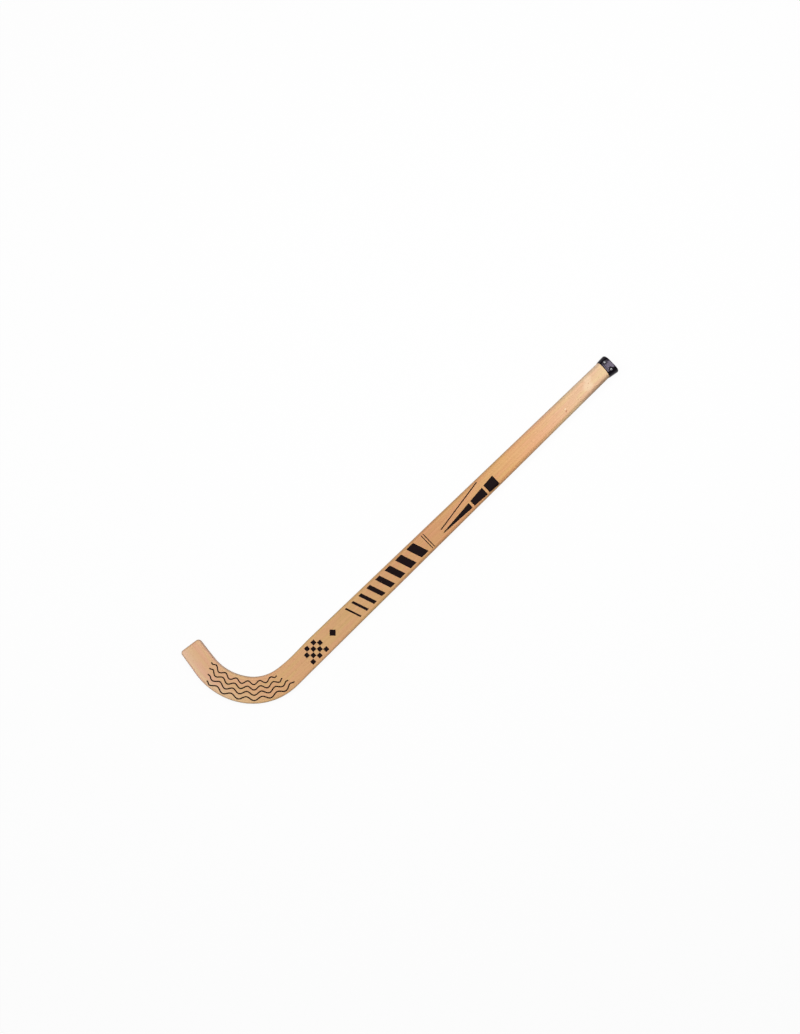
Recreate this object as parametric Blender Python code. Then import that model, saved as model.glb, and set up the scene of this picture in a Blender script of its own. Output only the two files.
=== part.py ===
"""Roller hockey stick of bent, glued beech plies, with a moulded cap tacked over its butt end.

The stick lies on its back: the back of the blade and the underside of the cap are on z = 0.
The shaft runs along X with its butt towards +X, and the crook of the blade opens towards +Y.
A place on the wood is written as (s, v): s runs along the centre line from the butt's end to the toe,
and v across the face, positive towards the inside of the bend. All sizes are in metres.
"""

import math

import bmesh
import bpy
from mathutils import Vector

# Centre line, from the butt's end to the toe
SHAFT_LENGTH = 0.7912
HEEL_RADIUS = 0.0910
HEEL_TURN = math.radians(51.7)
CROOK_RADIUS = 0.1092
CROOK_TURN = math.radians(45.6)
TOE_LENGTH = 0.0454

# Width of the face, thickness, and rounding of the edges
BUTT_WIDTH = 0.0320
HEEL_WIDTH = 0.0460
BEND_WIDTH = 0.0467
TOE_WIDTH = 0.0409
BUTT_THICKNESS = 0.0220
BLADE_THICKNESS = 0.0150
BUTT_EDGE_RADIUS = 0.0095
BLADE_EDGE_RADIUS = 0.0040
TOE_INNER_CORNER = 0.0070
TOE_OUTER_CORNER = 0.0060

# Waist, where the inner edge is drawn in just before the bend
WAIST_AT = 0.7700
WAIST_DEPTH = 0.0016
WAIST_BEFORE = 0.0540
WAIST_AFTER = 0.0330

# Plies, counted outwards from the middle glue line on each side of it
PLIES_A_SIDE = 4
PLY_THICKNESS = BEND_WIDTH / (2 * PLIES_A_SIDE)
GLUE_GAP = 0.0003
FEATHER = 0.0004

# Cap: its outsets are measured from the wood's own section, and its mouth is arched on the front and back.
# It sits askew: its outside leans to the outer side, and its mouth reaches further down there.
# Its front and back run nearly flat to the end, so they drop less there than its sides round off.
CAP_DEPTH = 0.0165
CAP_MOUTH_ARCH = 0.0012
CAP_MOUTH_SKEW = 0.0012
CAP_LEAN = 0.065
CAP_CROWN_HEIGHT = 0.0028
CAP_CROWN_RISE = 0.0009
CAP_CLEARANCE = 0.0003
CAP_LIP = 0.0010
CAP_MOUTH_OUTSET = 0.0010
CAP_FLARE_OUTSET = 0.0030
CAP_FLARE_AT = 0.0013
CAP_END_RADIUS = 0.0026
CAP_FACE_DROP = 0.0010

# Tacks, two through each face of the cap
TACK_AT = 0.0074
TACK_MIDDLE = 0.0006
TACK_SPACING = 0.0170
SHANK_RADIUS = 0.0008
TIP_RADIUS = 0.00016
SHANK_LENGTH = 0.0085
POINT_LENGTH = 0.0022
HEAD_RADIUS = 0.0021
HEAD_HEIGHT = 0.0011
HEAD_SINK = 0.0005
SEAT_DEPTH = 0.0022
TACK_CLEARANCE = 0.0003

# Fineness of the faceted surfaces
SHAFT_STEPS = 11
BEND_STEP = math.radians(4.9)
TOE_STEP = 0.0100
END_STEPS = 3
SHORTEST_STEP = 0.0180
PLY_COLUMNS = (1, 4, 6, 6)
CAP_CORNER_STEPS = 5
CAP_END_STEPS = 3
CROWN_STEPS = 3
CROWN_INSET = 0.9
TACK_SIDES = 16
HEAD_STEPS = 4
SHARP_ANGLE = math.radians(35)

HEEL_START = SHAFT_LENGTH
HEEL_END = HEEL_START + HEEL_RADIUS * HEEL_TURN
CROOK_END = HEEL_END + CROOK_RADIUS * CROOK_TURN
TOE_END = CROOK_END + TOE_LENGTH

BEECH = ("beech", (0.68, 0.41, 0.21), 0.42, 0.0)
CAP_BLACK = ("cap_black", (0.012, 0.011, 0.013), 0.28, 0.0)
TACK_STEEL = ("tack_steel", (0.62, 0.62, 0.63), 0.25, 1.0)


def between(low, high, share):
    """The value this share of the way from low to high, held at the two ends."""
    return low + (high - low) * min(max(share, 0.0), 1.0)


def eased(low, high, share):
    """As between(), but leaving low and reaching high level."""
    share = min(max(share, 0.0), 1.0)
    return between(low, high, share * share * (3 - 2 * share))


def half_width(s):
    """A straight taper down the shaft, the widest face where the bend is, and a narrower toe."""
    if s <= HEEL_START:
        return between(BUTT_WIDTH, HEEL_WIDTH, s / SHAFT_LENGTH) / 2
    if s <= HEEL_END:
        return eased(HEEL_WIDTH, BEND_WIDTH, 2 * (s - HEEL_START) / (HEEL_END - HEEL_START)) / 2
    return eased(BEND_WIDTH, TOE_WIDTH, (s - HEEL_END) / (TOE_END - HEEL_END)) / 2


def reach(s, side):
    """How far the face reaches from the centre line, on the inside or the outside of the bend."""
    if side < 0:
        return half_width(s)
    run = WAIST_BEFORE if s < WAIST_AT else WAIST_AFTER
    return half_width(s) - eased(WAIST_DEPTH, 0.0, abs(s - WAIST_AT) / run)


def half_thickness(s):
    return between(BUTT_THICKNESS, BLADE_THICKNESS, s / SHAFT_LENGTH) / 2


def edge_radius(s):
    return between(BUTT_EDGE_RADIUS, BLADE_EDGE_RADIUS, s / SHAFT_LENGTH)


def middle_height(s):
    """Height of the wood's middle, which sets the blade's back level with the underside of the cap."""
    return between(CAP_FLARE_OUTSET, 0.0, s / SHAFT_LENGTH) + half_thickness(s)


def spine(s):
    """The centre line at s, and the direction across the face there."""
    point = Vector((-min(s, HEEL_START), 0.0))
    heading = math.pi
    for start, radius, full_turn in (
        (HEEL_START, HEEL_RADIUS, HEEL_TURN),
        (HEEL_END, CROOK_RADIUS, CROOK_TURN),
    ):
        turn = min(max((s - start) / radius, 0.0), full_turn)
        point += radius * Vector((math.sin(heading), -math.cos(heading)))
        heading -= turn
        point -= radius * Vector((math.sin(heading), -math.cos(heading)))
    point += max(s - CROOK_END, 0.0) * Vector((math.cos(heading), math.sin(heading)))
    return point, Vector((math.sin(heading), -math.cos(heading)))


def toe_corner(v):
    return TOE_INNER_CORNER if v > 0 else TOE_OUTER_CORNER


def toe_reach(v):
    """Where the toe's square end with its rounded corners lies at this place across the face."""
    corner = toe_corner(v)
    past = min(max(abs(v) - (TOE_WIDTH / 2 - corner), 0.0), corner)
    return TOE_END - corner + math.sqrt(corner**2 - past**2)


def edge_distance(s, v):
    """How far inside the outline of the face a place lies."""
    from_side = reach(s, v) - abs(v)
    from_end = TOE_END - s
    corner = toe_corner(v)
    if from_side < corner and from_end < corner:
        return corner - math.hypot(corner - from_side, corner - from_end)
    return min(from_side, from_end)


def surface(s, v, face):
    """A point of the wood's front (face = 1) or back (face = -1)."""
    radius = edge_radius(s)
    into_rounding = max(radius - max(edge_distance(s, v), 0.0), 0.0)
    height = half_thickness(s) - radius + math.sqrt(radius**2 - into_rounding**2)
    point, across = spine(s)
    place = point + across * v
    return Vector((place.x, place.y, middle_height(s) + face * height))


def stations(first):
    """Places along the wood at which a ply that starts at first is sectioned."""
    shaft_step = SHAFT_LENGTH / SHAFT_STEPS
    bend_steps = round((HEEL_TURN + CROOK_TURN) / BEND_STEP)
    bend_step = (CROOK_END - HEEL_START) / bend_steps
    toe_run = TOE_LENGTH - BLADE_EDGE_RADIUS
    toe_steps = round(toe_run / TOE_STEP)
    places = [shaft_step * i for i in range(SHAFT_STEPS)]
    places += [WAIST_AT - WAIST_BEFORE / 2, WAIST_AT, WAIST_AT + WAIST_AFTER / 2]
    places += [HEEL_START + bend_step * i for i in range(bend_steps)]
    places += [CROOK_END + toe_run * i / toe_steps for i in range(toe_steps)]
    for step in range(END_STEPS + 1):
        angle = math.pi / 2 * step / END_STEPS
        places.append(TOE_END - BLADE_EDGE_RADIUS * (1 - math.sin(angle)))
    return [first] + sorted(s for s in places if s > first + SHORTEST_STEP)


def fitted_to_toe(s, v):
    """Moves a place beyond the crook along the wood so that the last station follows the toe's end."""
    if s <= CROOK_END:
        return s
    return CROOK_END + (s - CROOK_END) * (toe_reach(v) - CROOK_END) / TOE_LENGTH


def run_out(near):
    """Where the shaft's taper has planed a ply with this inner side down to a feather edge."""
    taper = (HEEL_WIDTH - BUTT_WIDTH) / SHAFT_LENGTH
    return max((2 * (near + FEATHER) - BUTT_WIDTH) / taper, 0.0)


def ply_rings(number, side):
    """Rings of points round one ply, on the inside (side = 1) or the outside (side = -1) of the bend."""
    near = (number - 1) * PLY_THICKNESS + GLUE_GAP / 2
    far = number * PLY_THICKNESS - GLUE_GAP / 2
    columns = PLY_COLUMNS[number - 1]
    shares = [math.sin(math.pi / 2 * j / columns) for j in range(columns + 1)]
    rings = []
    for s in stations(run_out(near)):
        limit = reach(s, side) if number == PLIES_A_SIDE else min(far, reach(s, side))
        places = [side * (near + (limit - near) * share) for share in shares]
        front = [surface(fitted_to_toe(s, v), v, 1) for v in places]
        back = [surface(fitted_to_toe(s, v), v, -1) for v in places]
        rings.append(front + back[::-1])
    return rings


def cap_ring(s, outset, mouth=0.0, extra=0.0, lean=CAP_LEAN):
    """The wood's section at s, grown by outset, and by extra as well on the front and the back.

    A ring at the mouth is arched and skewed in full, and one with no lean stays centred on the wood.
    """
    wide = half_width(s) + outset
    high = half_thickness(s) + outset + extra
    radius = max(edge_radius(s) + outset, high / 2)
    ring = []
    for corner, (v_way, z_way) in enumerate(((1, 1), (-1, 1), (-1, -1), (1, -1))):
        for step in range(CAP_CORNER_STEPS + 1):
            angle = math.pi / 2 * (corner + step / CAP_CORNER_STEPS)
            v = v_way * (wide - radius) + radius * math.cos(angle)
            z = z_way * (high - radius) + radius * math.sin(angle)
            x = mouth * (CAP_MOUTH_ARCH * (1 - (v / wide) ** 2) + CAP_MOUTH_SKEW * v / wide) - s
            ring.append(Vector((x, v - lean * (CAP_DEPTH - s), middle_height(s) + z)))
    return ring


def cap_rings():
    """Rings from the crown of the domed end, over the flare to the mouth, and back down the inside."""
    shoulder = CAP_CROWN_RISE - CAP_CROWN_HEIGHT
    shoulder_outset = CAP_FLARE_OUTSET - CAP_END_RADIUS
    inset = (BUTT_THICKNESS / 2 + shoulder_outset) * CROWN_INSET
    fullness = CAP_END_RADIUS - CAP_FACE_DROP
    rings = []
    for step in range(CROWN_STEPS):
        share = 1 - step / CROWN_STEPS
        rise = CAP_CROWN_RISE * (1 - (1 - share) ** 2)
        extra = fullness * (1 - share)
        rings.append(cap_ring(shoulder - rise, shoulder_outset - inset * share, 0.0, extra))
    for step in range(CAP_END_STEPS + 1):
        angle = math.pi / 2 * (1 - step / CAP_END_STEPS)
        along = CAP_FLARE_AT + (shoulder - CAP_FLARE_AT) * math.sin(angle)
        drop = 1 - math.cos(angle)
        extra = CAP_END_RADIUS * drop - CAP_FACE_DROP * drop**2
        rings.append(cap_ring(along, CAP_FLARE_OUTSET - CAP_END_RADIUS * drop, 0.0, extra))
    rings.append(cap_ring(CAP_DEPTH - CAP_LIP / 2, CAP_MOUTH_OUTSET, 1.0))
    rings.append(cap_ring(CAP_DEPTH, (CAP_MOUTH_OUTSET + CAP_CLEARANCE) / 2, 1.0))
    rings.append(cap_ring(CAP_DEPTH - CAP_LIP / 2, CAP_CLEARANCE, 1.0, lean=0.0))
    rings.append(cap_ring(-CAP_CLEARANCE, CAP_CLEARANCE, lean=0.0))
    return rings


def cap_outset(s):
    """How far the outside of the cap stands off the wood between its flare and its mouth."""
    share = (s - CAP_FLARE_AT) / (CAP_DEPTH - CAP_LIP / 2 - CAP_FLARE_AT)
    return between(CAP_FLARE_OUTSET, CAP_MOUTH_OUTSET, share)


def turned_rings(profile):
    """Rings round the Z axis from pairs of radius and height."""
    rings = []
    for radius, z in profile:
        angles = [2 * math.pi * i / TACK_SIDES for i in range(TACK_SIDES)]
        rings.append([Vector((radius * math.cos(angle), radius * math.sin(angle), z)) for angle in angles])
    return rings


def tack_rings():
    """A domed head above z = 0, with its pointed shank below."""
    profile = [
        (TIP_RADIUS, -SHANK_LENGTH),
        (SHANK_RADIUS, POINT_LENGTH - SHANK_LENGTH),
        (SHANK_RADIUS, 0.0),
        (HEAD_RADIUS, 0.0),
    ]
    for step in range(1, HEAD_STEPS + 1):
        angle = math.pi / 2 * step / (HEAD_STEPS + 1)
        profile.append((HEAD_RADIUS * math.cos(angle), HEAD_HEIGHT * math.sin(angle)))
    return turned_rings(profile)


def tack_hole_rings():
    """A bore for the shank, opening into a round seat for the head."""
    bore = SHANK_RADIUS + TACK_CLEARANCE
    seat = HEAD_RADIUS + TACK_CLEARANCE
    profile = [(bore, -SHANK_LENGTH - TACK_CLEARANCE), (bore, -TACK_CLEARANCE)]
    profile += [(seat, -TACK_CLEARANCE), (seat, SEAT_DEPTH)]
    return turned_rings(profile)


def clear_scene():
    for obj in list(bpy.data.objects):
        bpy.data.objects.remove(obj)


def finish_material(name, colour, roughness, metallic):
    made = bpy.data.materials.get(name) or bpy.data.materials.new(name)
    made.use_nodes = True
    shader = made.node_tree.nodes["Principled BSDF"]
    shader.inputs["Base Color"].default_value = (*colour, 1.0)
    shader.inputs["Roughness"].default_value = roughness
    shader.inputs["Metallic"].default_value = metallic
    return made


def lofted_mesh(name, rings, finish):
    """A closed mesh through rings of equal count, with faces across its first and last ring."""
    count = len(rings[0])
    shape = bmesh.new()
    loops = [[shape.verts.new(point) for point in ring] for ring in rings]
    for first, second in zip(loops, loops[1:]):
        for i in range(count):
            after = (i + 1) % count
            shape.faces.new((first[i], first[after], second[after], second[i]))
    for loop in (loops[0], loops[-1]):
        for i in range(count // 2 - 1):
            shape.faces.new((loop[i], loop[i + 1], loop[count - 2 - i], loop[count - 1 - i]))
    bmesh.ops.recalc_face_normals(shape, faces=shape.faces)
    mesh = bpy.data.meshes.new(name)
    shape.to_mesh(mesh)
    shape.free()
    mesh.materials.append(finish_material(*finish))
    mesh.shade_smooth()
    mesh.set_sharp_from_angle(angle=SHARP_ANGLE)
    return mesh


def add_object(name, mesh, parent, location=(0.0, 0.0, 0.0), flipped=False):
    obj = bpy.data.objects.new(name, mesh)
    bpy.context.scene.collection.objects.link(obj)
    obj.parent = parent
    obj.location = location
    obj.rotation_euler.x = math.pi if flipped else 0.0
    return obj


def build_plies(stick):
    plies = {}
    for side, word in ((1, "inner"), (-1, "outer")):
        for number in range(1, PLIES_A_SIDE + 1):
            name = f"{word}_ply_{number}"
            plies[name] = add_object(name, lofted_mesh(name, ply_rings(number, side), BEECH), stick)
    return plies


def drill(piece, cutter):
    hole = piece.modifiers.new(cutter.name, "BOOLEAN")
    hole.operation = "DIFFERENCE"
    hole.object = cutter


def build_tacks(stick, cap, plies):
    """The four tacks, and their holes through the cap into the ply under each of them."""
    tack_mesh = lofted_mesh("tack", tack_rings(), TACK_STEEL)
    hole_mesh = lofted_mesh("tack_hole", tack_hole_rings(), TACK_STEEL)
    seat = half_thickness(TACK_AT) + cap_outset(TACK_AT) - HEAD_SINK
    ply_number = math.ceil(TACK_SPACING / 2 / PLY_THICKNESS)
    for face, face_word in ((1, "front"), (-1, "back")):
        for side, side_word in ((1, "inner"), (-1, "outer")):
            name = f"{face_word}_{side_word}_tack"
            v = TACK_MIDDLE + side * TACK_SPACING / 2
            place = (-TACK_AT, v, middle_height(TACK_AT) + face * seat)
            add_object(name, tack_mesh, stick, place, flipped=face < 0)
            cutter = add_object(f"{name}_hole", hole_mesh, stick, place, flipped=face < 0)
            cutter.hide_render = True
            cutter.display_type = "WIRE"
            drill(cap, cutter)
            drill(plies[f"{side_word}_ply_{ply_number}"], cutter)


def middle_along(axis, pieces):
    places = [vertex.co[axis] for piece in pieces for vertex in piece.data.vertices]
    return (min(places) + max(places)) / 2


def main():
    clear_scene()
    stick = bpy.data.objects.new("stick", None)
    bpy.context.scene.collection.objects.link(stick)
    plies = build_plies(stick)
    cap = add_object("butt_cap", lofted_mesh("butt_cap", cap_rings(), CAP_BLACK), stick)
    build_tacks(stick, cap, plies)
    shell = [cap, *plies.values()]
    stick.location = (-middle_along(0, shell), -middle_along(1, shell), 0.0)


main()
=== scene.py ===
"""Looks of the roller hockey stick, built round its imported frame.

Bent beech plies under a satin lacquer, a black print on the front, a glossy moulded cap and bright tacks.
The wood's own places are (s, v): s along the centre line from the butt's end to the toe, and v across the
face, positive towards the inside of the bend. All sizes are in metres.
"""

import math

import bmesh
import bpy
import numpy as np
from mathutils import Matrix, Vector


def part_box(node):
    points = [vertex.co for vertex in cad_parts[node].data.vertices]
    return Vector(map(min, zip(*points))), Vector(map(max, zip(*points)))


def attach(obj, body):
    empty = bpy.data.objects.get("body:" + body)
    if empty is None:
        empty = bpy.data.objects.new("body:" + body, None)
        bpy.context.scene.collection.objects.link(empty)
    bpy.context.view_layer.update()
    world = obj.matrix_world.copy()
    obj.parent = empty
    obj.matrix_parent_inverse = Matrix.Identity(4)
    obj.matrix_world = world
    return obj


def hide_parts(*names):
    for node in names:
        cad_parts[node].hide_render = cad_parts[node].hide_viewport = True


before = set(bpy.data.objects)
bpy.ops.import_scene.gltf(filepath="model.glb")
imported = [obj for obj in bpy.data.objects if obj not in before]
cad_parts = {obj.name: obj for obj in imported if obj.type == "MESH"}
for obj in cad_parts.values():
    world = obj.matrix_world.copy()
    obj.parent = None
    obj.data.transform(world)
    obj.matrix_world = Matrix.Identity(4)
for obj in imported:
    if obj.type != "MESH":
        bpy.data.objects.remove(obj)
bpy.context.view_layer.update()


def tone(red, green, blue):
    """A linear colour from screen values of 0 to 255."""
    shares = [level / 255 for level in (red, green, blue)]
    return (*[c / 12.92 if c <= 0.04045 else ((c + 0.055) / 1.055) ** 2.4 for c in shares], 1.0)


# The wood's driving dimensions
SHAFT_LENGTH = 0.7912
HEEL_RADIUS = 0.0910
HEEL_TURN = math.radians(51.7)
CROOK_RADIUS = 0.1092
CROOK_TURN = math.radians(45.6)
TOE_LENGTH = 0.0454
BUTT_WIDTH = 0.0320
HEEL_WIDTH = 0.0460
BEND_WIDTH = 0.0467
TOE_WIDTH = 0.0409
BUTT_THICKNESS = 0.0220
BLADE_THICKNESS = 0.0150
BUTT_EDGE_RADIUS = 0.0095
BLADE_EDGE_RADIUS = 0.0040
TOE_INNER_CORNER = 0.0070
TOE_OUTER_CORNER = 0.0060
WAIST_AT = 0.7700
WAIST_DEPTH = 0.0016
WAIST_BEFORE = 0.0540
WAIST_AFTER = 0.0330
PLIES_A_SIDE = 4
PLY_THICKNESS = BEND_WIDTH / (2 * PLIES_A_SIDE)
GLUE_LINE = 0.00002
FEATHER = 0.00006

# The cap's driving dimensions: outsets from the wood's section, and the dents that its tacks make.
# It sits askew: its outside leans to the outer side, and its mouth reaches further down there.
CAP_DEPTH = 0.0165
CAP_MOUTH_ARCH = 0.0012
CAP_MOUTH_SKEW = 0.0012
CAP_LEAN = 0.065
CAP_CROWN_HEIGHT = 0.0028
CAP_CROWN_RISE = 0.0009
CAP_CLEARANCE = 0.0003
CAP_LIP = 0.0010
CAP_MOUTH_OUTSET = 0.0010
CAP_FLARE_OUTSET = 0.0030
CAP_FLARE_AT = 0.0013
CAP_END_RADIUS = 0.0026
CAP_FACE_DROP = 0.0010
CAP_FACE_BULGE = 0.0002
CAP_BEAD_AT = 0.0140
CAP_LIP_OUTSET = 0.0004
DIMPLE_DEPTH = 0.0006
DIMPLE_RADIUS = 0.0048

# Tacks
TACK_AT = 0.0074
TACK_MIDDLE = 0.0006
TACK_SPACING = 0.0170
SHANK_RADIUS = 0.0008
SHANK_LENGTH = 0.0085
POINT_LENGTH = 0.0022
TIP_RADIUS = 0.00016
HEAD_RADIUS = 0.0021
HEAD_HEIGHT = 0.0011
HEAD_RIM = 0.0002
HEAD_FULLNESS = 0.9

# Print, a film between two heights over the wood. The edges of the wedge and of the hairline beside it
# are given by v at their two ends.
FILM_BOTTOM = 0.000005
FILM_TOP = 0.00005
WEDGE_PARTS = ((0.2870, 0.3105), (0.3150, 0.3460), (0.3505, 0.4180))
WEDGE_START = 0.2870
WEDGE_END = 0.4180
WEDGE_LOW = (-0.0160, -0.0100)
WEDGE_HIGH = (0.0040, -0.0085)
HAIRLINE_START = 0.3150
HAIRLINE_LOW = (0.0135, -0.0030)
HAIRLINE_HIGH = (0.0155, -0.0010)
CROSSINGS = (0.4462, 0.4506)
CROSSING_WIDTH = 0.0016
CROSSING_REACH = 0.0152
BAR_START = 0.4640
BAR_WIDTHS = (0.0170, 0.0150, 0.0130, 0.0110, 0.0090, 0.0070, 0.0050, 0.0035)
BAR_SPACE = 0.0125
BAR_SLANT = 0.35
BAR_LOW = -0.0136
BAR_HIGH = 0.0158
DIAMOND_AT = (0.6815, 0.0010)
DIAMOND_HALF = 0.0075
RIPPLE_START = 0.7900
RIPPLE_LENGTH = 0.1500
RIPPLE_STAGGER = 0.0060
RIPPLE_ROWS = (-0.0141, -0.0047, 0.0047, 0.0141)
RIPPLE_WAVE = 0.0250
RIPPLE_HEIGHT = 0.0031
RIPPLE_LINE = 0.0023
RIPPLE_FADE = 0.0080
CHECK_START = 0.7060
CHECK_SIZE = 0.0080
CHECK_COUNTS = (5, 4)
CHECK_GAP = 0.0002

# Fineness of the meshes
SHAFT_STEP = 0.020
WAIST_STEPS = 18
BEND_STEP = math.radians(1.5)
TOE_STEP = 0.004
END_STEPS = 8
PLY_COLUMNS = (6, 14, 18, 22)
CAP_CORNER_STEPS = 24
CAP_FLAT_STEPS = 12
CAP_BODY_STEPS = 30
CROWN_START = 0.95
CROWN_STEPS = 14
SHOULDER_STEPS = 12
BEAD_STEPS = 12
TACK_SIDES = 48
HEAD_STEPS = 12
PRINT_STEP = 0.0010
DIAMOND_STEPS = 16
LEAST_HALF_WIDTH = 0.00005
SHARP_ANGLE = math.radians(35)

# Where the bends and the toe begin and end along the centre line
HEEL_START = SHAFT_LENGTH
HEEL_END = HEEL_START + HEEL_RADIUS * HEEL_TURN
CROOK_END = HEEL_END + CROOK_RADIUS * CROOK_TURN
TOE_END = CROOK_END + TOE_LENGTH
BENDS = ((HEEL_START, HEEL_RADIUS, HEEL_TURN), (HEEL_END, CROOK_RADIUS, CROOK_TURN))

WHITE = (1.0, 1.0, 1.0, 1.0)

# Colours of the beech from the butt's end to the toe. Its paler tone towards the butt's end and towards the
# toe is partly a painted reflection of the lacquer's sheen and partly the wood's own tone.
BEECH_AND_SHEEN_STOPS = (
    (0.00, tone(232, 199, 160)),
    (0.09, tone(228, 188, 147)),
    (0.18, tone(224, 172, 122)),
    (0.25, tone(219, 165, 107)),
    (0.42, tone(206, 150, 100)),
    (0.66, tone(211, 165, 115)),
    (0.80, tone(218, 170, 120)),
    (1.00, tone(226, 181, 143)),
)

# Each ply's share of the noises' shift, by its number, negative on the outside of the bend
PLY_SHARES = {1: 0.35, 2: 0.80, 3: 0.15, 4: 0.60, -1: 0.70, -2: 0.25, -3: 0.95, -4: 0.45}

# Tints, which the beech is multiplied by
BEECH_ROSY = (1.02, 0.952, 0.980, 1.0)
BEECH_GOLDEN = (0.99, 1.025, 0.915, 1.0)
# Painted sheen: a paler, pinker tone on the outer side of the blade
PAINTED_SHEEN_TINT = (1.06, 1.16, 1.36, 1.0)
RING_DARK = (0.955, 0.94, 0.92, 1.0)
RING_LIGHT = (1.02, 1.02, 1.02, 1.0)
FIBRE_DARK = (0.95, 0.935, 0.92, 1.0)
FLECK = (0.76, 0.67, 0.58, 1.0)
SEAM = (0.93, 0.89, 0.85, 1.0)
# Painted sheen: the rounded edges are paler and cooler
EDGE_SHEEN_TINT = (0.92, 0.99, 1.12, 1.0)
# Painted shade: the outer edge darkens just below the cap
PAINTED_SHADE_TINT = (0.58, 0.50, 0.43, 1.0)
END_DARK = (0.70, 0.62, 0.55, 1.0)
END_LIGHT = (0.92, 0.88, 0.82, 1.0)

# Marks on the front: place (s, v), radius, strength and colour. The two pale patches near the butt are a
# painted sheen; the rest are knots and pin marks.
KNOT_BROWN = tone(178, 116, 80)
KNOT_PALE = tone(246, 214, 182)
PIN_BROWN = tone(196, 150, 112)
# Painted sheen: pale patches on the front near the butt
SHEEN_PATCH = tone(238, 208, 172)
MARKS = (
    (0.0570, -0.0010, 0.0090, 0.65, SHEEN_PATCH),
    (0.0490, 0.0085, 0.0065, 0.60, SHEEN_PATCH),
    (0.1149, -0.0060, 0.0018, 1.00, KNOT_BROWN),
    (0.1137, -0.0020, 0.0013, 1.00, KNOT_PALE),
    (0.0336, -0.0033, 0.0008, 1.00, PIN_BROWN),
    (0.0531, 0.0021, 0.0010, 1.00, PIN_BROWN),
    (0.0595, -0.0027, 0.0009, 1.00, PIN_BROWN),
)
MARK_STRETCH = 1.3
MARK_RAGGEDNESS = 0.3
MARK_FADE = (0.25, 1.1)

# Colours of the cap, the tacks and the ink
CAP_BLACK = (0.0008, 0.0008, 0.0008, 1.0)
CAP_PURPLE = (0.0036, 0.0020, 0.0042, 1.0)
CAP_SHEEN = (0.88, 0.76, 1.0, 1.0)
STEEL_DARK = (0.25, 0.25, 0.26, 1.0)
STEEL_LIGHT = (0.40, 0.40, 0.40, 1.0)
INK_DEEP = tone(17, 7, 9)
INK_BROWN = tone(27, 13, 14)
INK_THIN = tone(70, 50, 38)

# Noises: scale on the three axes, detail and roughness. On the wood the first axis runs along the grain.
CLOUDS = ((14.0, 40.0, 40.0), 2.0, 0.5)
RINGS = ((7.0, 520.0, 150.0), 3.0, 0.6)
FIBRES = ((60.0, 3200.0, 3200.0), 2.0, 0.5)
FLECKS = ((330.0, 2300.0, 2300.0), 0.0, 0.5)
PORES = ((900.0, 2600.0, 2600.0), 1.0, 0.5)
CAP_BROAD = ((150.0, 150.0, 150.0), 2.0, 0.5)
CAP_FINE = ((2600.0, 2600.0, 2600.0), 2.0, 0.5)
SMEARS = ((900.0, 900.0, 900.0), 3.0, 0.6)
SCRATCHES = ((9000.0, 1200.0, 1200.0), 1.0, 0.5)
INK_DRAG = ((160.0, 1400.0, 1.0), 3.0, 0.6)
INK_SPECKS = ((1600.0, 2200.0, 1.0), 1.0, 0.5)
BOARD_SHIFTS = (40.0, 90.0)
SPECK_STRENGTH = 0.5

# Where masks begin and end: levels of a noise, and below them places on the wood
NOISE_SPAN = (0.3, 0.7)
CLOUD_SPAN = (0.35, 0.65)
FLECK_SPAN = (0.68, 0.78)
PORE_SPAN = (0.4, 0.62)
SPECK_SPAN = (0.72, 0.8)
# Where the painted sheen on the blade's outer side lies
SHEEN_ACROSS = (-0.020, 0.006)
SHEEN_ALONG = (0.80, 0.92)
# Where the painted shade on the outer edge below the cap lies
SHADE_ACROSS = (-0.0145, -0.0085)
SHADE_ALONG = (0.030, 0.110)
SEAM_FADE = (0.00005, 0.00035)
# Painted sheen on the rounded edges, by their depth below the face
EDGE_SHEEN_FADE = (0.0002, 0.0020)
END_FADE = (TOE_END - 0.0035, TOE_END - 0.0005)
FRONT_FADE = (0.0, 0.002)

# Roughness at the two ends of a noise, and bumps as strength and distance
BEECH_ROUGHNESS = (0.58, 0.50)
CAP_ROUGHNESS = (0.17, 0.25)
STEEL_ROUGHNESS = (0.40, 0.52)
INK_ROUGHNESS = (0.48, 0.60)
RING_RELIEF = 0.6
FIBRE_RELIEF = 0.4
BEECH_BUMP = (0.12, 0.0003)
CAP_BROAD_BUMP = (0.08, 0.0008)
CAP_FINE_BUMP = (0.04, 0.0001)
STEEL_BUMP = (0.10, 0.00005)
INK_BUMP = (0.10, 0.0001)

# Floor, light and camera. A lamp has its place, its target, its two sides and its radiance.
FLOOR_HALF = 30.0
FLOOR_GREY = (0.30, 0.30, 0.30, 1.0)
FLOOR_WHITE = (0.90, 0.90, 0.90, 1.0)
FLOOR_GLOW = 0.92
WORLD_FADE = (0.10, 0.40)
WORLD_TOP = 0.25
WORLD_AMBIENT = 0.20
TOP_STRIP = ((0.78, -0.13, 1.90), (0.78, -0.13, 0.0), (1.40, 0.17), 23.0)
SIDE_PANEL = ((-0.15, 0.75, 2.20), (-0.05, 0.0, 0.0), (2.4, 1.4), 3.2)
SENSOR = 36.0
CAMERA_HEIGHT = 2.00
MEASURED_HEIGHT = 0.012
FRAME_HEIGHT = 1.8278
CAMERA_PLACE = (-0.00160, -0.00563)
CAMERA_TURN = math.radians(-44.19)

# The middle of the wood's end, from the cap's box
cap_low, cap_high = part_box("butt_cap")
FLARE_SHIFT = CAP_LEAN * (CAP_DEPTH - CAP_FLARE_AT)
WOOD_END = Vector((cap_high.x - CAP_CROWN_HEIGHT, (cap_low.y + cap_high.y) / 2 + FLARE_SHIFT, 0.0))


# The wood's form


def ramp(value, low, high):
    return np.clip((value - low) / (high - low), 0.0, 1.0)


def mix(low, high, share):
    return low + (high - low) * share


def smooth(share):
    return share * share * (3 - 2 * share)


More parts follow.
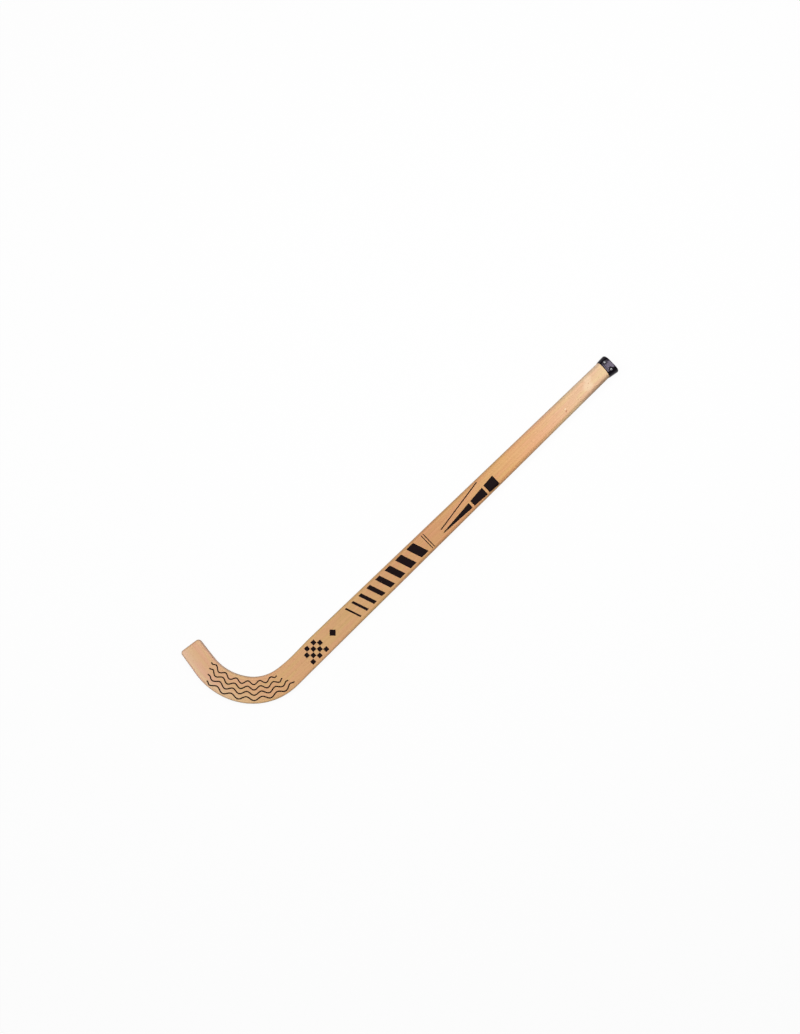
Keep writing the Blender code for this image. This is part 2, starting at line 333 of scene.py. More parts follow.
def half_width(s):
    shaft = mix(BUTT_WIDTH, HEEL_WIDTH, ramp(s, 0.0, SHAFT_LENGTH))
    bend = mix(shaft, BEND_WIDTH, smooth(ramp(s, HEEL_START, (HEEL_START + HEEL_END) / 2)))
    return mix(bend, TOE_WIDTH, smooth(ramp(s, HEEL_END, TOE_END))) / 2


def reach(s, side):
    """How far the face reaches from the centre line; its inner edge is drawn in just before the bend."""
    run = np.where(s < WAIST_AT, WAIST_BEFORE, WAIST_AFTER)
    waist = WAIST_DEPTH * (1 - smooth(np.clip(np.abs(s - WAIST_AT) / run, 0.0, 1.0)))
    return half_width(s) - np.where(np.asarray(side) > 0, waist, 0.0)


def half_thickness(s):
    return mix(BUTT_THICKNESS, BLADE_THICKNESS, ramp(s, 0.0, SHAFT_LENGTH)) / 2


def edge_radius(s):
    return mix(BUTT_EDGE_RADIUS, BLADE_EDGE_RADIUS, ramp(s, 0.0, SHAFT_LENGTH))


def middle_height(s):
    return mix(CAP_FLARE_OUTSET, 0.0, ramp(s, 0.0, SHAFT_LENGTH)) + half_thickness(s)


def spine(s):
    """Places on the centre line, and the direction across the face at each of them."""
    x = -np.minimum(s, HEEL_START)
    y = np.zeros_like(x)
    heading = np.full_like(x, math.pi)
    for start, radius, full_turn in BENDS:
        turned = heading - np.clip((s - start) / radius, 0.0, full_turn)
        x = x + radius * (np.sin(heading) - np.sin(turned))
        y = y + radius * (np.cos(turned) - np.cos(heading))
        heading = turned
    run = np.maximum(s - CROOK_END, 0.0)
    place = np.stack([x + run * np.cos(heading), y + run * np.sin(heading)], -1)
    return place, np.stack([np.sin(heading), -np.cos(heading)], -1)


def toe_corner(v):
    return np.where(v > 0, TOE_INNER_CORNER, TOE_OUTER_CORNER)


def toe_reach(v):
    corner = toe_corner(v)
    past = np.clip(np.abs(v) - (TOE_WIDTH / 2 - corner), 0.0, corner)
    return TOE_END - corner + np.sqrt(corner**2 - past**2)


def fitted_to_toe(s, v):
    """Moves places beyond the crook along the wood so that the last station follows the toe's end."""
    fitted = CROOK_END + (s - CROOK_END) * (toe_reach(v) - CROOK_END) / TOE_LENGTH
    return np.where(s > CROOK_END, fitted, s)


def edge_distance(s, v):
    corner = toe_corner(v)
    from_side = reach(s, v) - np.abs(v)
    from_end = TOE_END - s
    in_corner = (from_side < corner) & (from_end < corner)
    round_corner = corner - np.hypot(corner - from_side, corner - from_end)
    return np.where(in_corner, round_corner, np.minimum(from_side, from_end))


def on_wood(s, v, face, lift=0.0):
    """Points on the wood's front (face = 1) or back (face = -1), lifted off it along its normal."""
    radius = edge_radius(s)
    lean = np.clip((radius - np.maximum(edge_distance(s, v), 0.0)) / radius, 0.0, 1.0)
    upright = np.sqrt(1 - lean**2)
    height = half_thickness(s) - radius + (radius + lift) * upright
    place, across = spine(s)
    place = place + across * (v + np.sign(v) * lift * lean)[..., None]
    z = middle_height(s) + face * height
    return np.concatenate([place, z[..., None]], -1) + np.array(WOOD_END)


# Meshes


def finished_mesh(name, points, faces, material):
    mesh = bpy.data.meshes.new(name)
    mesh.from_pydata(points.reshape(-1, 3).tolist(), [], faces)
    shape = bmesh.new()
    shape.from_mesh(mesh)
    bmesh.ops.recalc_face_normals(shape, faces=shape.faces)
    shape.to_mesh(mesh)
    shape.free()
    mesh.materials.append(material)
    mesh.shade_smooth()
    mesh.set_sharp_from_angle(angle=SHARP_ANGLE)
    return mesh


def lofted_faces(ring_count, point_count):
    """Faces through rings of points, with strips of faces across the first and the last ring."""
    faces = []
    for ring in range(ring_count - 1):
        low = ring * point_count
        for i in range(point_count):
            after = (i + 1) % point_count
            faces.append((low + i, low + after, low + point_count + after, low + point_count + i))
    for low in (0, (ring_count - 1) * point_count):
        for i in range(point_count // 2 - 1):
            faces.append((low + i, low + i + 1, low + point_count - 2 - i, low + point_count - 1 - i))
    return faces


def add_piece(name, mesh, node=None):
    piece = bpy.data.objects.new(name, mesh)
    bpy.context.scene.collection.objects.link(piece)
    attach(piece, "root")
    if node:
        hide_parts(node)


def add_vectors(mesh, name, values):
    attribute = mesh.attributes.new(name, "FLOAT_VECTOR", "POINT")
    attribute.data.foreach_set("vector", values.astype(np.float32).ravel())


# Plies


def taper_reaches(half):
    """The place along the shaft where its half width comes to this."""
    return max((2 * half - BUTT_WIDTH) * SHAFT_LENGTH / (HEEL_WIDTH - BUTT_WIDTH), 0.0)


def ply_stations(near, far):
    first = taper_reaches(near + FEATHER)
    shaft = np.append(np.arange(0.0, HEEL_START, SHAFT_STEP), taper_reaches(far))
    waist = np.linspace(WAIST_AT - WAIST_BEFORE, WAIST_AT + WAIST_AFTER, WAIST_STEPS, endpoint=False)
    bend_steps = round((HEEL_TURN + CROOK_TURN) / BEND_STEP)
    bend = np.linspace(HEEL_START, CROOK_END, bend_steps, endpoint=False)
    toe_run_end = TOE_END - BLADE_EDGE_RADIUS
    toe = np.linspace(CROOK_END, toe_run_end, round((toe_run_end - CROOK_END) / TOE_STEP), endpoint=False)
    angles = np.linspace(0.0, math.pi / 2, END_STEPS + 1)
    end = TOE_END - BLADE_EDGE_RADIUS * (1 - np.sin(angles))
    stations = np.unique(np.concatenate([shaft, waist, bend, toe, end]))
    return np.append(first, stations[(stations > first + FEATHER) & (stations <= TOE_END)])


def ply_columns(s, side, near, far, count):
    """Places across one ply, evenly spaced over its flat and its share of the rounded edge."""
    radius = edge_radius(s)[:, None]
    flat_to = reach(s, side)[:, None] - radius
    limit = np.minimum(far, reach(s, side))[:, None]
    flat = np.clip(flat_to - near, 0.0, limit - near)
    low = np.arcsin(np.clip((near - flat_to) / radius, 0.0, 1.0))
    high = np.arcsin(np.clip((limit - flat_to) / radius, 0.0, 1.0))
    run = (flat + radius * (high - low)) * np.linspace(0.0, 1.0, count + 1)
    rounded = flat_to + radius * np.sin(np.minimum(low + (run - flat) / radius, math.pi / 2))
    return np.where(run <= flat, near + run, rounded)


def build_ply(side, number, material):
    word = "inner" if side > 0 else "outer"
    node = f"{word}_ply_{number}"
    near = (number - 1) * PLY_THICKNESS + GLUE_LINE / 2
    far = number * PLY_THICKNESS - GLUE_LINE / 2
    if number == PLIES_A_SIDE:
        far = BEND_WIDTH
    stations = ply_stations(near, number * PLY_THICKNESS)
    v = side * ply_columns(stations, side, near, far, PLY_COLUMNS[number - 1])
    s = fitted_to_toe(stations[:, None], v)
    front = on_wood(s, v, 1)
    back = on_wood(s, v, -1)
    points = np.concatenate([front, back[:, ::-1]], 1)
    mesh = finished_mesh(f"{node}_wood", points, lofted_faces(*points.shape[:2]), material)
    along = np.concatenate([s, s[:, ::-1]], 1)
    across = np.concatenate([v, v[:, ::-1]], 1)
    height = points[..., 2] - middle_height(along)
    add_vectors(mesh, "grain", np.stack([along, across, height], -1))
    board = mesh.attributes.new("board", "FLOAT", "POINT")
    board.data.foreach_set("value", np.full(len(mesh.vertices), PLY_SHARES[side * number], np.float32))
    add_piece(f"{node}_wood", mesh, node)


# Cap


def cap_section(s, outset, extra):
    """Points round the section at s, grown by outset, and by extra as well on the front and the back."""
    s = max(s, 0.0)
    wide = half_width(s) + outset
    high = half_thickness(s) + outset + extra
    radius = max(edge_radius(s) + outset, high / 2)
    arcs = []
    for corner, (v_way, z_way) in enumerate(((1, 1), (-1, 1), (-1, -1), (1, -1))):
        angles = math.pi / 2 * (corner + np.linspace(0.0, 1.0, CAP_CORNER_STEPS + 1))
        v = v_way * (wide - radius) + radius * np.cos(angles)
        z = z_way * (high - radius) + radius * np.sin(angles)
        arcs.append(np.stack([v, z], -1))
    ring = []
    for arc, after in zip(arcs, arcs[1:] + arcs[:1]):
        shares = np.linspace(0.0, 1.0, CAP_FLAT_STEPS + 1)[1:-1, None]
        ring += [arc, mix(arc[-1], after[0], shares)]
    return np.concatenate(ring)


def cap_profile():
    """The cap's outside from the crown to the mouth: place along the wood, outset, and the faces' extra."""
    shoulder = CAP_CROWN_RISE - CAP_CROWN_HEIGHT
    shoulder_outset = CAP_FLARE_OUTSET - CAP_END_RADIUS
    inset = BUTT_THICKNESS / 2 + shoulder_outset
    fullness = CAP_END_RADIUS - CAP_FACE_DROP
    profile = []
    for share in np.linspace(CROWN_START, 0.0, CROWN_STEPS, endpoint=False):
        along = shoulder - CAP_CROWN_RISE * (1 - (1 - share) ** 2)
        profile.append((along, shoulder_outset - inset * share, fullness * (1 - share)))
    for angle in np.linspace(math.pi / 2, 0.0, SHOULDER_STEPS):
        along = CAP_FLARE_AT + (shoulder - CAP_FLARE_AT) * math.sin(angle)
        drop = 1 - math.cos(angle)
        extra = CAP_END_RADIUS * drop - CAP_FACE_DROP * drop**2
        profile.append((along, CAP_FLARE_OUTSET - CAP_END_RADIUS * drop, extra))
    for share in np.linspace(0.0, 1.0, CAP_BODY_STEPS + 1)[1:]:
        along = mix(CAP_FLARE_AT, CAP_BEAD_AT, share)
        profile.append((along, cap_outset(along), face_bulge(along)))
    bead_height = cap_outset(CAP_BEAD_AT) - CAP_LIP_OUTSET
    for angle in np.linspace(0.0, math.pi / 2, BEAD_STEPS + 1)[1:]:
        along = CAP_BEAD_AT + (CAP_DEPTH - CAP_BEAD_AT) * math.sin(angle)
        profile.append((along, CAP_LIP_OUTSET + bead_height * math.cos(angle), 0.0))
    return profile


def face_bulge(s):
    """How far the cap's front and back bulge between the flare and the bead."""
    share = (s - CAP_FLARE_AT) / (CAP_BEAD_AT - CAP_FLARE_AT)
    return 4 * CAP_FACE_BULGE * share * (1 - share)


def cap_outset(s):
    return mix(CAP_FLARE_OUTSET, CAP_MOUTH_OUTSET, (s - CAP_FLARE_AT) / (CAP_DEPTH - CAP_FLARE_AT))


def dimple(s, v):
    """How far the tacks have drawn the cap's faces in at this place."""
    away = np.hypot(s - TACK_AT, np.abs(v - TACK_MIDDLE) - TACK_SPACING / 2) / DIMPLE_RADIUS
    return DIMPLE_DEPTH * (1 - smooth(np.clip(away, 0.0, 1.0)))


def cap_points(s, outset, extra, outside, mouth=0.0):
    """A ring of the cap. Its outside leans and has the tacks' dents, and its inside has neither."""
    section = cap_section(s, outset, extra)
    v, z = section[:, 0], section[:, 1]
    across = v / np.abs(v).max()
    x = mouth * (CAP_MOUTH_ARCH * (1 - across**2) + CAP_MOUTH_SKEW * across) - s
    if outside:
        v = v - CAP_LEAN * (CAP_DEPTH - s)
        z = z - np.sign(z) * dimple(-x, v)
    return np.stack([x, v, middle_height(max(s, 0.0)) + z], -1) + np.array(WOOD_END)


def mouth_share(s):
    """How much of the mouth's arch and skew a ring has at s: nothing at the flare, all of it at the mouth."""
    return ramp(s, CAP_FLARE_AT, CAP_DEPTH - CAP_LIP / 2)


def build_cap(material):
    rings = [cap_points(s, outset, extra, True, mouth_share(s)) for s, outset, extra in cap_profile()]
    rings.append(cap_points(CAP_DEPTH, CAP_CLEARANCE, 0.0, False, 1.0))
    rings.append(cap_points(CAP_DEPTH / 2, CAP_CLEARANCE, 0.0, False))
    rings.append(cap_points(-CAP_CLEARANCE, CAP_CLEARANCE, 0.0, False))
    points = np.stack(rings)
    mesh = finished_mesh("butt_cap_moulding", points, lofted_faces(*points.shape[:2]), material)
    add_piece("butt_cap_moulding", mesh, "butt_cap")


# Tacks


def tack_profile():
    """Pairs of radius and height, from the shank's point to the top of the domed head."""
    profile = [(TIP_RADIUS, -SHANK_LENGTH), (SHANK_RADIUS, POINT_LENGTH - SHANK_LENGTH), (SHANK_RADIUS, 0.0)]
    profile += [(HEAD_RADIUS - HEAD_RIM / 2, 0.0), (HEAD_RADIUS, HEAD_RIM / 2), (HEAD_RADIUS, HEAD_RIM)]
    for angle in np.linspace(0.0, math.pi / 2, HEAD_STEPS + 1)[1:-1]:
        radius = HEAD_RADIUS * math.cos(angle) ** HEAD_FULLNESS
        profile.append((radius, HEAD_RIM + (HEAD_HEIGHT - HEAD_RIM) * math.sin(angle)))
    return profile


def build_tacks(material):
    """The four tacks, each lying flat on the cap's face where it sits."""
    turns = np.linspace(0.0, 2 * math.pi, TACK_SIDES, endpoint=False)
    circle = np.stack([np.cos(turns), np.sin(turns)], -1)
    rings = [np.column_stack([radius * circle, np.full(TACK_SIDES, z)]) for radius, z in tack_profile()]
    points = np.stack(rings)
    corner_radius = edge_radius(TACK_AT) + cap_outset(TACK_AT)
    flat_to = half_width(TACK_AT) + cap_outset(TACK_AT) - corner_radius
    full_height = half_thickness(TACK_AT) + cap_outset(TACK_AT) + face_bulge(TACK_AT) - DIMPLE_DEPTH
    shift = CAP_LEAN * (CAP_DEPTH - TACK_AT)
    for face, face_word in ((1, "front"), (-1, "back")):
        for side, side_word in ((1, "inner"), (-1, "outer")):
            node = f"{face_word}_{side_word}_tack"
            v = TACK_MIDDLE + side * TACK_SPACING / 2
            tilt = math.asin(max(abs(v + shift) - flat_to, 0.0) / corner_radius)
            rise = full_height - corner_radius * (1 - math.cos(tilt))
            outward = Matrix.Rotation(0.0 if face > 0 else math.pi, 3, "X")
            turn = Matrix.Rotation(-side * face * tilt, 3, "X") @ outward
            place = WOOD_END + Vector((-TACK_AT, v, middle_height(TACK_AT) + face * rise))
            placed = points @ np.array(turn).T + np.array(place)
            mesh = finished_mesh(f"{node}_steel", placed, lofted_faces(*placed.shape[:2]), material)
            add_piece(f"{node}_steel", mesh, node)


# Print: every shape is a ribbon between two edges, laid on the front of the wood as a closed film


def ribbon(first_edge, second_edge):
    """Places in rows between two edges, each given as an array of (s, v)."""
    widest = np.linalg.norm(second_edge - first_edge, axis=-1).max()
    shares = np.linspace(0.0, 1.0, max(math.ceil(widest / PRINT_STEP), 1) + 1)
    return mix(first_edge[:, None], second_edge[:, None], shares[None, :, None])


def bar(s, width, slant, low, high):
    """A bar across the face, whose middle passes through s on the centre line."""
    v = np.linspace(low, high, math.ceil((high - low) / PRINT_STEP) + 1)
    middle = s + slant * v
    return ribbon(np.stack([middle - width / 2, v], -1), np.stack([middle + width / 2, v], -1))


def long_shape(start, end, low_at_ends, high_at_ends):
    """A shape along the wood between two straight edges, each given by v at its two ends."""
    share = np.linspace(0.0, 1.0, math.ceil((end - start) / PRINT_STEP) + 1)
    s = mix(start, end, share)
    return ribbon(np.stack([s, mix(*low_at_ends, share)], -1), np.stack([s, mix(*high_at_ends, share)], -1))


def diamond(s, v, half_length, half_height):
    share = np.linspace(-1.0, 1.0, DIAMOND_STEPS + 1)
    half = np.maximum(half_height * (1 - np.abs(share)), LEAST_HALF_WIDTH)
    along = s + half_length * share
    return ribbon(np.stack([along, v - half], -1), np.stack([along, v + half], -1))


def ripple(start, row):
    """A waving line along the wood, level at its two ends."""
    end = start + RIPPLE_LENGTH
    s = np.arange(start, end, PRINT_STEP)
    fade = smooth(ramp(s, start, start + RIPPLE_FADE)) * smooth(ramp(-s, -end, RIPPLE_FADE - end))
    wave = RIPPLE_HEIGHT * fade * np.sin(2 * math.pi * (s - RIPPLE_START) / RIPPLE_WAVE)
    middle = np.stack([s, row + wave], -1)
    heading = np.gradient(middle, axis=0)
    heading /= np.linalg.norm(heading, axis=-1, keepdims=True)
    across = np.stack([-heading[:, 1], heading[:, 0]], -1)
    return ribbon(middle - across * RIPPLE_LINE / 2, middle + across * RIPPLE_LINE / 2)


def film(place, first):
    """Points and faces of a closed film over a grid of places."""
    rows, columns = place.shape[:2]
    s, v = place[..., 0], place[..., 1]
    layers = np.stack([on_wood(s, v, 1, lift) for lift in (FILM_BOTTOM, FILM_TOP)])
    index = first + np.arange(2 * rows * columns).reshape(2, rows, columns)
    faces = []
    for layer in index:
        for a, b in zip(layer, layer[1:]):
            faces += [(a[j], a[j + 1], b[j + 1], b[j]) for j in range(columns - 1)]
    for low, high in ((index[0][0], index[1][0]), (index[0][-1], index[1][-1])):
        faces += [(low[j], low[j + 1], high[j + 1], high[j]) for j in range(columns - 1)]
    for low, high in ((index[0][:, 0], index[1][:, 0]), (index[0][:, -1], index[1][:, -1])):
        faces += [(low[i], low[i + 1], high[i + 1], high[i]) for i in range(rows - 1)]
    return layers.reshape(-1, 3), faces, np.concatenate([place.reshape(-1, 2)] * 2)


def build_print(name, shapes, material):
    points, faces, places = [], [], []
    for shape in shapes:
        shape_points, shape_faces, shape_places = film(shape, sum(map(len, points)))
        points.append(shape_points)
        faces += [tuple(int(i) for i in face) for face in shape_faces]
        places.append(shape_places)
    mesh = finished_mesh(name, np.concatenate(points), faces, material)
    flat = np.concatenate(places)
    add_vectors(mesh, "grain", np.concatenate([flat, np.zeros((len(flat), 1))], -1))
    add_piece(name, mesh)


def wedge_shapes():
    """A long wedge that thins towards the blade, cut across twice, with a fine line running beside it."""
    shapes = []
    for start, end in WEDGE_PARTS:
        ends = [ramp(s, WEDGE_START, WEDGE_END) for s in (start, end)]
        low = [mix(*WEDGE_LOW, share) for share in ends]
        high = [mix(*WEDGE_HIGH, share) for share in ends]
        shapes.append(long_shape(start, end, low, high))
    shapes.append(long_shape(HAIRLINE_START, WEDGE_END, HAIRLINE_LOW, HAIRLINE_HIGH))
    return shapes


def crossing_shapes():
    return [bar(s, CROSSING_WIDTH, 0.0, -CROSSING_REACH, CROSSING_REACH) for s in CROSSINGS]


def bar_shapes():
    """Slanted bars that get thinner towards the blade."""
    shapes = []
    s = BAR_START
    for width in BAR_WIDTHS:
        shapes.append(bar(s + width / 2, width, BAR_SLANT, BAR_LOW, BAR_HIGH))
        s += width + BAR_SPACE
    return shapes


def check_shapes():
    """Every second square of a board of checks."""
    shapes = []
    columns, rows = CHECK_COUNTS
    for column in range(columns):
        for row in range(column % 2, rows, 2):
            start = CHECK_START + column * CHECK_SIZE
            low = (row - rows / 2) * CHECK_SIZE + CHECK_GAP / 2
            high = low + CHECK_SIZE - CHECK_GAP
            shapes.append(long_shape(start, start + CHECK_SIZE - CHECK_GAP, (low, low), (high, high)))
    return shapes


def ripple_shapes():
    return [ripple(RIPPLE_START + i * RIPPLE_STAGGER, row) for i, row in enumerate(RIPPLE_ROWS)]


def build_prints(material):
    build_print("wedge_print", wedge_shapes(), material)
    build_print("crossing_print", crossing_shapes(), material)
    build_print("bars_print", bar_shapes(), material)
    build_print("diamond_print", [diamond(*DIAMOND_AT, DIAMOND_HALF, DIAMOND_HALF)], material)
    build_print("checks_print", check_shapes(), material)
    build_print("ripples_print", ripple_shapes(), material)


# Materials


class Nodes:
    """Adds nodes to one tree, with other nodes' sockets or plain values as their inputs."""

    def __init__(self, owner):
        owner.use_nodes = True
        self.tree = owner.node_tree
        self.tree.nodes.clear()

    def add(self, kind, inputs, output=0, **settings):
        node = self.tree.nodes.new(kind)
        for name, value in settings.items():
            setattr(node, name, value)
        for name, value in inputs.items():
            if isinstance(value, bpy.types.NodeSocket):
                self.tree.links.new(value, node.inputs[name])
            else:
                node.inputs[name].default_value = value
        return node.outputs[output] if node.outputs else node

    def math(self, operation, *values):
        return self.add("ShaderNodeMath", dict(enumerate(values)), operation=operation)

    def attribute(self, name, output):
        return self.add("ShaderNodeAttribute", {}, output, attribute_name=name)

    def noise(self, vector, scale, detail, roughness, offset=(0.0, 0.0, 0.0)):
        placed = self.add("ShaderNodeVectorMath", {0: vector, 1: scale, 2: offset}, operation="MULTIPLY_ADD")
        inputs = {"Vector": placed, "Scale": 1.0, "Detail": detail, "Roughness": roughness}
        return self.add("ShaderNodeTexNoise", inputs)

    def range(self, value, low, high, to_low=0.0, to_high=1.0):
        inputs = {"Value": value, "From Min": low, "From Max": high, "To Min": to_low, "To Max": to_high}
        return self.add("ShaderNodeMapRange", inputs, interpolation_type="SMOOTHSTEP")

    def blend(self, factor, first, second, kind="MIX"):
        inputs = {0: factor, 6: first, 7: second}
        return self.add("ShaderNodeMix", inputs, 2, data_type="RGBA", blend_type=kind)

    def tinted(self, colour, factor, first, second):
        """The colour times a tint that goes from first to second with the factor."""
        return self.blend(1.0, colour, self.blend(factor, first, second), "MULTIPLY")

    def stops(self, value, stops):
        node = self.tree.nodes.new("ShaderNodeValToRGB")
        ramp_stops = node.color_ramp.elements
        while len(ramp_stops) < len(stops):
            ramp_stops.new(1.0)
        for element, (place, colour) in zip(ramp_stops, stops):
            element.position = place
            element.color = colour
        self.tree.links.new(value, node.inputs[0])
        return node.outputs[0]

    def bump(self, height, strength, distance, normal=None):
        inputs = {"Height": height, "Strength": strength, "Distance": distance}
        if normal is not None:
            inputs["Normal"] = normal
        return self.add("ShaderNodeBump", inputs)

    def finish(self, inputs):
        shader = self.add("ShaderNodeBsdfPrincipled", inputs)
        self.add("ShaderNodeOutputMaterial", {"Surface": shader})


def beech_material():
    """Beech whose tone changes along the stick, with a little of its own for each ply. Its colour also
    carries painted light: a painted reflection of the lacquer's sheen near the butt's end, in two patches, on
    the blade's outer side and on the rounded edges, and a painted shade on the outer edge below the cap.
    """
    material = bpy.data.materials.new("lacquered_beech")
    nodes = Nodes(material)
    place = nodes.attribute("grain", 1)
    board = nodes.attribute("board", 2)
    parts = nodes.tree.nodes.new("ShaderNodeSeparateXYZ")
    nodes.tree.links.new(place, parts.inputs[0])
    s, v, height = parts.outputs
    shifts = [nodes.math("MULTIPLY", board, amount) for amount in BOARD_SHIFTS]
    shift = nodes.add("ShaderNodeCombineXYZ", dict(enumerate(shifts)))

    # The tone along the stick, partly a painted reflection of the lacquer's sheen near the butt's end and the
    # toe
    colour = nodes.stops(nodes.math("DIVIDE", s, TOE_END), BEECH_AND_SHEEN_STOPS)
    # Painted sheen: the outer side of the blade is made paler and pinker
    painted_sheen = nodes.math("MULTIPLY", nodes.range(v, *SHEEN_ACROSS, 1.0, 0.0), nodes.range(s, *SHEEN_ALONG))
    colour = nodes.tinted(colour, painted_sheen, WHITE, PAINTED_SHEEN_TINT)

    clouds = nodes.noise(place, *CLOUDS, shift)
    colour = nodes.tinted(colour, nodes.range(clouds, *CLOUD_SPAN), BEECH_ROSY, BEECH_GOLDEN)
    rings = nodes.noise(place, *RINGS, shift)
    colour = nodes.tinted(colour, nodes.range(rings, *NOISE_SPAN), RING_DARK, RING_LIGHT)
    fibres = nodes.noise(place, *FIBRES, shift)
    colour = nodes.tinted(colour, nodes.range(fibres, *NOISE_SPAN), FIBRE_DARK, WHITE)
    flecks = nodes.noise(place, *FLECKS, shift)
    colour = nodes.tinted(colour, nodes.range(flecks, *FLECK_SPAN), WHITE, FLECK)

    from_seam = nodes.math("PINGPONG", v, PLY_THICKNESS / 2)
    colour = nodes.tinted(colour, nodes.range(from_seam, *SEAM_FADE), SEAM, WHITE)
    face_height = nodes.add("ShaderNodeMapRange", {
        "Value": s,
        "From Min": 0.0,
        "From Max": SHAFT_LENGTH,
        "To Min": BUTT_THICKNESS / 2,
        "To Max": BLADE_THICKNESS / 2,
    })
    below_face = nodes.math("SUBTRACT", face_height, nodes.math("ABSOLUTE", height))
    # Painted sheen: the rounded edges turn paler and cooler with their depth below the face
    colour = nodes.tinted(colour, nodes.range(below_face, *EDGE_SHEEN_FADE), WHITE, EDGE_SHEEN_TINT)
    # Painted shade: the outer edge is darkened just below the cap's mouth
    painted_shade = nodes.math("MULTIPLY", nodes.range(v, *SHADE_ACROSS, 1.0, 0.0), nodes.range(s, *SHADE_ALONG, 1.0, 0.0))
    colour = nodes.tinted(colour, painted_shade, WHITE, PAINTED_SHADE_TINT)

    pores = nodes.noise(place, *PORES, shift)
    end_colour = nodes.tinted(colour, nodes.range(pores, *PORE_SPAN), END_DARK, END_LIGHT)
    colour = nodes.blend(nodes.range(s, *END_FADE), colour, end_colour)

    on_front = nodes.range(height, *FRONT_FADE)
    ragged = nodes.range(fibres, *NOISE_SPAN, -MARK_RAGGEDNESS, MARK_RAGGEDNESS)
    for mark_s, mark_v, radius, strength, mark_colour in MARKS:
        off_s = nodes.math("DIVIDE", nodes.math("SUBTRACT", s, mark_s), radius * MARK_STRETCH)
        off_v = nodes.math("DIVIDE", nodes.math("SUBTRACT", v, mark_v), radius)
        away = nodes.math("ADD", nodes.math("MULTIPLY", off_s, off_s), nodes.math("MULTIPLY", off_v, off_v))
        away = nodes.math("ADD", away, ragged)
        mask = nodes.math("MULTIPLY", nodes.range(away, *MARK_FADE, strength, 0.0), on_front)
        colour = nodes.blend(mask, colour, mark_colour)

    ring_relief = nodes.math("MULTIPLY", rings, RING_RELIEF)
    fibre_relief = nodes.math("MULTIPLY", fibres, FIBRE_RELIEF)
    nodes.finish({
        "Base Color": colour,
        "Roughness": nodes.range(rings, *NOISE_SPAN, *BEECH_ROUGHNESS),
        "IOR": 1.5,
        "Specular IOR Level": 0.4,
        "Normal": nodes.bump(nodes.math("ADD", ring_relief, fibre_relief), *BEECH_BUMP),
    })
    return material


def cap_material():
    material = bpy.data.materials.new("glossy_black_plastic")
    nodes = Nodes(material)
    place = nodes.add("ShaderNodeTexCoord", {}, 3)
    broad = nodes.noise(place, *CAP_BROAD)
    fine = nodes.noise(place, *CAP_FINE)
    sunk = nodes.bump(broad, *CAP_BROAD_BUMP)
    nodes.finish({
        "Base Color": nodes.blend(broad, CAP_BLACK, CAP_PURPLE),
        "Roughness": nodes.range(fine, *NOISE_SPAN, *CAP_ROUGHNESS),
        "IOR": 1.45,
        "Specular IOR Level": 0.28,
        "Specular Tint": CAP_SHEEN,
        "Normal": nodes.bump(fine, *CAP_FINE_BUMP, sunk),
    })
    return material


def tack_material():
    material = bpy.data.materials.new("nickelled_steel")
    nodes = Nodes(material)
    place = nodes.add("ShaderNodeTexCoord", {}, 3)
    smears = nodes.noise(place, *SMEARS)
    nodes.finish({
        "Base Color": nodes.blend(smears, STEEL_DARK, STEEL_LIGHT),
        "Metallic": 1.0,
        "Roughness": nodes.range(smears, *NOISE_SPAN, *STEEL_ROUGHNESS),
        "Normal": nodes.bump(nodes.noise(place, *SCRATCHES), *STEEL_BUMP),
    })
    return material


def ink_material():
    material = bpy.data.materials.new("black_ink")
    nodes = Nodes(material)
    place = nodes.attribute("grain", 1)
    drag = nodes.noise(place, *INK_DRAG)
    specks = nodes.noise(place, *INK_SPECKS)
    colour = nodes.blend(nodes.range(drag, *NOISE_SPAN), INK_DEEP, INK_BROWN)
    colour = nodes.blend(nodes.range(specks, *SPECK_SPAN, 0.0, SPECK_STRENGTH), colour, INK_THIN)
    nodes.finish({
        "Base Color": colour,
        "Roughness": nodes.range(drag, *NOISE_SPAN, *INK_ROUGHNESS),
        "Specular IOR Level": 0.05,
        "Normal": nodes.bump(drag, *INK_BUMP),
    })
    return material


# Floor, light and camera


def seen(nodes):
    """1 for a ray that shows the surface as a background, 0 for one that carries its light."""
    path = nodes.tree.nodes.new("ShaderNodeLightPath")
    total = nodes.math("ADD", path.outputs["Is Camera Ray"], path.outputs["Is Glossy Ray"])
    total = nodes.math("ADD", total, path.outputs["Is Transmission Ray"])
    return nodes.math("MINIMUM", total, 1.0)


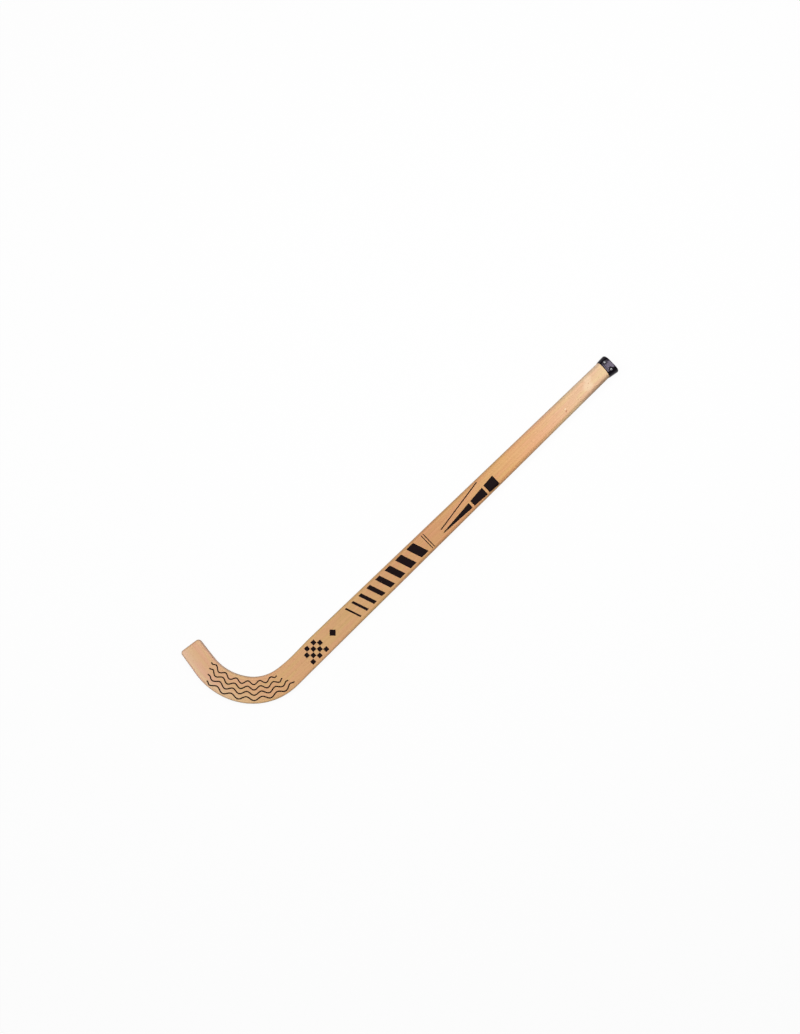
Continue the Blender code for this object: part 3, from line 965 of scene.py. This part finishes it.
def build_floor():
    mesh = bpy.data.meshes.new("floor")
    corners = [(x * FLOOR_HALF, y * FLOOR_HALF, 0.0) for x, y in ((-1, -1), (1, -1), (1, 1), (-1, 1))]
    mesh.from_pydata(corners, [], [(0, 1, 2, 3)])
    floor = bpy.data.objects.new("floor", mesh)
    bpy.context.scene.collection.objects.link(floor)
    material = bpy.data.materials.new("white_floor")
    nodes = Nodes(material)
    shown = seen(nodes)
    diffuse = nodes.add("ShaderNodeBsdfDiffuse", {"Color": nodes.blend(shown, FLOOR_GREY, FLOOR_WHITE)})
    glow = nodes.add("ShaderNodeEmission", {"Color": WHITE, "Strength": 1.0})
    share = nodes.math("MULTIPLY", shown, FLOOR_GLOW)
    mixed = nodes.add("ShaderNodeMixShader", {0: share, 1: diffuse, 2: glow})
    nodes.add("ShaderNodeOutputMaterial", {"Surface": mixed})
    mesh.materials.append(material)


def build_world():
    world = bpy.data.worlds.new("studio")
    bpy.context.scene.world = world
    nodes = Nodes(world)
    direction = nodes.tree.nodes.new("ShaderNodeSeparateXYZ")
    nodes.tree.links.new(nodes.add("ShaderNodeTexCoord", {}, 0), direction.inputs[0])
    shown = seen(nodes)
    sky = nodes.range(direction.outputs[2], *WORLD_FADE, 1.0, WORLD_TOP)
    strength = nodes.add("ShaderNodeMix", {0: shown, 2: WORLD_AMBIENT, 3: sky})
    background = nodes.add("ShaderNodeBackground", {"Color": WHITE, "Strength": strength})
    nodes.add("ShaderNodeOutputWorld", {"Surface": background})


def add_lamp(name, place, target, size, radiance):
    light = bpy.data.lights.new(name, "AREA")
    light.shape = "RECTANGLE"
    light.size, light.size_y = size
    light.energy = math.pi * radiance * size[0] * size[1]
    lamp = bpy.data.objects.new(name, light)
    bpy.context.scene.collection.objects.link(lamp)
    lamp.location = place
    lamp.rotation_euler = (Vector(target) - Vector(place)).to_track_quat("-Z", "Y").to_euler()
    lamp.visible_camera = False


def build_camera():
    camera = bpy.data.cameras.new("camera")
    camera.sensor_width = SENSOR
    camera.lens = SENSOR * (CAMERA_HEIGHT - MEASURED_HEIGHT) / FRAME_HEIGHT
    holder = bpy.data.objects.new("camera", camera)
    bpy.context.scene.collection.objects.link(holder)
    holder.location = (*CAMERA_PLACE, CAMERA_HEIGHT)
    holder.rotation_euler.z = CAMERA_TURN
    bpy.context.scene.camera = holder


def main():
    beech = beech_material()
    for side in (1, -1):
        for number in range(1, PLIES_A_SIDE + 1):
            build_ply(side, number, beech)
    build_cap(cap_material())
    build_tacks(tack_material())
    build_prints(ink_material())
    build_floor()
    build_world()
    add_lamp("top_strip", *TOP_STRIP)
    add_lamp("side_panel", *SIDE_PANEL)
    build_camera()
    bpy.context.scene.view_settings.view_transform = "Standard"


main()
